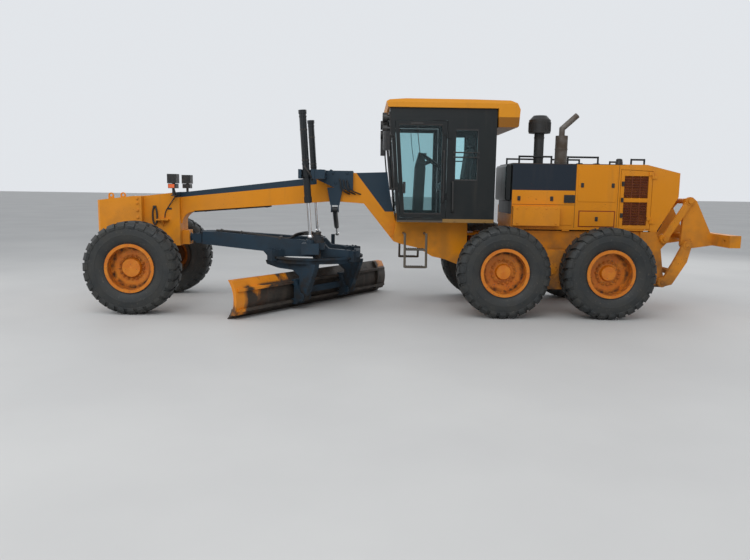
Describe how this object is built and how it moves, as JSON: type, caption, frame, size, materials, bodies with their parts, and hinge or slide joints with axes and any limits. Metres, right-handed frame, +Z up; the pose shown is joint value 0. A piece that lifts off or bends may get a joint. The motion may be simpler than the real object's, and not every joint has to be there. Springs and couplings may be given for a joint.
{
  "type": "motor grader",
  "caption": "Articulated motor grader with orange paint, black cab, angled blade on its circle, front push block and rear ripper frame",
  "frame": {"origin": "middle of the overall length and width, on the ground", "axes": "+X is forward, +Y is the machine's left, +Z is up"},
  "size_m": [9.635, 3.0755, 3.18],
  "materials": {
    "orange_paint": "worn satin",
    "slate_paint": "worn satin",
    "black_paint": "satin",
    "rust_mesh": "matte",
    "worn_steel": "worn",
    "engine_iron": "matte",
    "chrome_rod": "polished",
    "tyre_rubber": "dusty",
    "tinted_glass": "clear tint",
    "seat_cloth": "matte",
    "black_plastic": "matte"
  },
  "bodies": {
    "front_frame": {"main_frame": "orange_paint", "push_block": "orange_paint", "front_axle": "orange_paint", "saddle": "slate_paint", "cab_body": "black_paint", "cab_roof": "orange_paint", "cab_glass": "tinted_glass", "cab_seat": "seat_cloth", "cab_console": "black_plastic", "ladders": "black_paint", "lamps": "black_plastic", "mirrors": "black_plastic", "work_lamps": "black_plastic"},
    "lean_left": {"lean_yoke_left": "orange_paint"},
    "lean_right": {"lean_yoke_right": "orange_paint"},
    "steer_left": {"knuckle_left": "black_paint"},
    "steer_right": {"knuckle_right": "black_paint"},
    "wheel_front_left": {"tyre_front_left": "tyre_rubber", "rim_front_left": "orange_paint"},
    "wheel_front_right": {"tyre_front_right": "tyre_rubber", "rim_front_right": "orange_paint"},
    "wheel_mid_left": {"tyre_mid_left": "tyre_rubber", "rim_mid_left": "orange_paint"},
    "wheel_mid_right": {"tyre_mid_right": "tyre_rubber", "rim_mid_right": "orange_paint"},
    "wheel_rear_left": {"tyre_rear_left": "tyre_rubber", "rim_rear_left": "orange_paint"},
    "wheel_rear_right": {"tyre_rear_right": "tyre_rubber", "rim_rear_right": "orange_paint"},
    "drawbar_swivel": {"drawbar_ball": "slate_paint"},
    "drawbar_body": {"drawbar": "slate_paint", "circle_drive": "engine_iron"},
    "circle_body": {"turn_circle": "slate_paint", "circle_teeth": "worn_steel"},
    "carrier_body": {"blade_carrier": "slate_paint"},
    "blade_body": {"moldboard": "orange_paint", "cutting_edge": "worn_steel"},
    "lift_tube_l": {"lift_tube_left": "black_paint"},
    "lift_tube_r": {"lift_tube_right": "black_paint"},
    "lift_rod_l": {"lift_rod_left": "chrome_rod"},
    "lift_rod_r": {"lift_rod_right": "chrome_rod"},
    "shift_tube_body": {"shift_tube": "black_paint"},
    "shift_rod_body": {"shift_rod": "chrome_rod"},
    "door_left": {"cab_door_left": "black_paint"},
    "door_right": {"cab_door_right": "black_paint"},
    "rear_body": {"rear_frame": "orange_paint", "tandem_axle": "orange_paint", "engine": "engine_iron", "hood": "orange_paint", "stacks": "black_paint"},
    "grille_left": {"grille_door_left": "rust_mesh"},
    "grille_right": {"grille_door_right": "rust_mesh"},
    "ripper_arms_body": {"ripper_arms": "orange_paint"},
    "ripper_link_body": {"ripper_link": "orange_paint"},
    "ripper_beam_body": {"ripper_beam": "orange_paint"},
    "ripper_tube_body": {"ripper_tube": "orange_paint"},
    "ripper_rod_body": {"ripper_rod": "chrome_rod"}
  },
  "joints": [
    {"name": "articulate", "type": "hinge", "parent": "front_frame", "child": "rear_body", "pos_m": [-1.0825, 0, 0.9], "axis": [0, 0, 1], "range_deg": [-22, 22]},
    {"name": "lean_left", "type": "hinge", "parent": "front_frame", "child": "lean_left", "pos_m": [4.0675, 0.64, 0.52], "axis": [1, 0, 0], "range_deg": [-18, 18]},
    {"name": "steer_left", "type": "hinge", "parent": "lean_left", "child": "steer_left", "pos_m": [4.0675, 0.83, 0.672], "axis": [0, 0, 1], "range_deg": [-49, 49]},
    {"name": "lean_right", "type": "hinge", "parent": "front_frame", "child": "lean_right", "pos_m": [4.0675, -0.64, 0.52], "axis": [1, 0, 0], "range_deg": [-18, 18]},
    {"name": "steer_right", "type": "hinge", "parent": "lean_right", "child": "steer_right", "pos_m": [4.0675, -0.83, 0.672], "axis": [0, 0, 1], "range_deg": [-49, 49]},
    {"name": "spin_front_left", "type": "hinge", "parent": "steer_left", "child": "wheel_front_left", "pos_m": [4.0675, 1.02, 0.672], "axis": [0, 1, 0], "continuous": true},
    {"name": "spin_front_right", "type": "hinge", "parent": "steer_right", "child": "wheel_front_right", "pos_m": [4.0675, -1.02, 0.672], "axis": [0, 1, 0], "continuous": true},
    {"name": "spin_mid_left", "type": "hinge", "parent": "rear_body", "child": "wheel_mid_left", "pos_m": [-1.3225, 1.02, 0.672], "axis": [0, 1, 0], "continuous": true},
    {"name": "spin_mid_right", "type": "hinge", "parent": "rear_body", "child": "wheel_mid_right", "pos_m": [-1.3225, -1.02, 0.672], "axis": [0, 1, 0], "continuous": true},
    {"name": "spin_rear_left", "type": "hinge", "parent": "rear_body", "child": "wheel_rear_left", "pos_m": [-2.8625, 1.02, 0.672], "axis": [0, 1, 0], "continuous": true},
    {"name": "spin_rear_right", "type": "hinge", "parent": "rear_body", "child": "wheel_rear_right", "pos_m": [-2.8625, -1.02, 0.672], "axis": [0, 1, 0], "continuous": true},
    {"name": "drawbar_swing", "type": "hinge", "parent": "front_frame", "child": "drawbar_swivel", "pos_m": [3.5075, 0, 1.05], "axis": [0, 0, 1], "range_deg": [-8, 8]},
    {"name": "drawbar_lift", "type": "hinge", "parent": "drawbar_swivel", "child": "drawbar_body", "pos_m": [3.3775, 0, 1.05], "axis": [0, 1, 0], "range_deg": [-8, 14]},
    {"name": "circle_turn", "type": "hinge", "parent": "drawbar_body", "child": "circle_body", "pos_m": [1.4975, 0, 0.8], "axis": [0, 0, 1], "continuous": true},
    {"name": "blade_tilt", "type": "hinge", "parent": "circle_body", "child": "carrier_body", "pos_m": [1.30091, 0.14283, 0.2], "axis": [0.5878, 0.809, 0], "range_deg": [-5, 40]},
    {"name": "blade_shift", "type": "slide", "parent": "carrier_body", "child": "blade_body", "axis": [0.5878, 0.809, 0], "range_m": [-0.5, 0.5]},
    {"name": "lift_tube_swing_l", "type": "hinge", "parent": "front_frame", "child": "lift_tube_l", "pos_m": [1.5775, 0.76, 2.06], "axis": [1, 0, 0], "range_deg": [-18, 18]},
    {"name": "lift_rod_stroke_l", "type": "slide", "parent": "lift_tube_l", "child": "lift_rod_l", "axis": [0.0644, 0, 0.9979], "range_m": [-0.268, 0.462]},
    {"name": "lift_tube_swing_r", "type": "hinge", "parent": "front_frame", "child": "lift_tube_r", "pos_m": [1.5775, -0.76, 2.06], "axis": [1, 0, 0], "range_deg": [-18, 18]},
    {"name": "lift_rod_stroke_r", "type": "slide", "parent": "lift_tube_r", "child": "lift_rod_r", "axis": [0.0644, 0, 0.9979], "range_m": [-0.268, 0.462]},
    {"name": "shift_tube_swing", "type": "hinge", "parent": "front_frame", "child": "shift_tube_body", "pos_m": [1.1775, 0.245, 1.52], "axis": [1, 0, 0], "range_deg": [-29, 17]},
    {"name": "shift_rod_stroke", "type": "slide", "parent": "shift_tube_body", "child": "shift_rod_body", "axis": [0, -0.9161, -0.4011], "range_m": [-0.306, 0.306]},
    {"name": "door_left", "type": "hinge", "parent": "front_frame", "child": "door_left", "pos_m": [-0.4925, 0.714, 2.1], "axis": [0, 0, 1], "range_deg": [0, 100]},
    {"name": "door_right", "type": "hinge", "parent": "front_frame", "child": "door_right", "pos_m": [-0.4925, -0.714, 2.1], "axis": [0, 0, -1], "range_deg": [0, 100]},
    {"name": "grille_door_left", "type": "hinge", "parent": "rear_body", "child": "grille_left", "pos_m": [-3.6625, 0.509, 1.7], "axis": [0, 0, 1], "range_deg": [0, 110]},
    {"name": "grille_door_right", "type": "hinge", "parent": "rear_body", "child": "grille_right", "pos_m": [-3.6625, -0.509, 1.7], "axis": [0, 0, -1], "range_deg": [0, 110]},
    {"name": "ripper_lower", "type": "hinge", "parent": "rear_body", "child": "ripper_arms_body", "pos_m": [-3.8925, 0, 0.48], "axis": [0, -1, 0], "range_deg": [0, 60]},
    {"name": "ripper_link_turn", "type": "hinge", "parent": "rear_body", "child": "ripper_link_body", "pos_m": [-3.8925, 0, 1.15], "axis": [0, -1, 0], "range_deg": [0, 60]},
    {"name": "ripper_beam_turn", "type": "hinge", "parent": "ripper_arms_body", "child": "ripper_beam_body", "pos_m": [-4.2425, 0, 1.06], "axis": [0, -1, 0], "range_deg": [-60, 0]},
    {"name": "ripper_tube_swing", "type": "hinge", "parent": "rear_body", "child": "ripper_tube_body", "pos_m": [-3.7825, 0, 0.9], "axis": [0, -1, 0], "range_deg": [-1, 53]},
    {"name": "ripper_rod_stroke", "type": "slide", "parent": "ripper_tube_body", "child": "ripper_rod_body", "axis": [-0.4571, 0, 0.8894], "range_m": [-0.1, 0.01]}
  ],
  "couplings": [
    {"joint": "lift_tube_swing_l", "follows": "drawbar_swing", "ratio": -2.0952},
    {"joint": "lift_rod_stroke_l", "follows": "drawbar_lift", "m_per_rad": 1.8501},
    {"joint": "lift_tube_swing_r", "follows": "drawbar_swing", "ratio": -2.0952},
    {"joint": "lift_rod_stroke_r", "follows": "drawbar_lift", "m_per_rad": 1.8501},
    {"joint": "shift_tube_swing", "follows": "drawbar_lift", "ratio": -1.971},
    {"joint": "shift_rod_stroke", "follows": "drawbar_swing", "m_per_rad": 2.1214},
    {"joint": "lean_right", "follows": "lean_left", "ratio": 1},
    {"joint": "steer_right", "follows": "steer_left", "ratio": 1},
    {"joint": "ripper_link_turn", "follows": "ripper_lower", "ratio": 1},
    {"joint": "ripper_beam_turn", "follows": "ripper_lower", "ratio": -1},
    {"joint": "ripper_tube_swing", "follows": "ripper_lower", "ratio": 0.8623},
    {"joint": "ripper_rod_stroke", "follows": "ripper_lower", "m_per_rad": -0.0859}
  ]
}
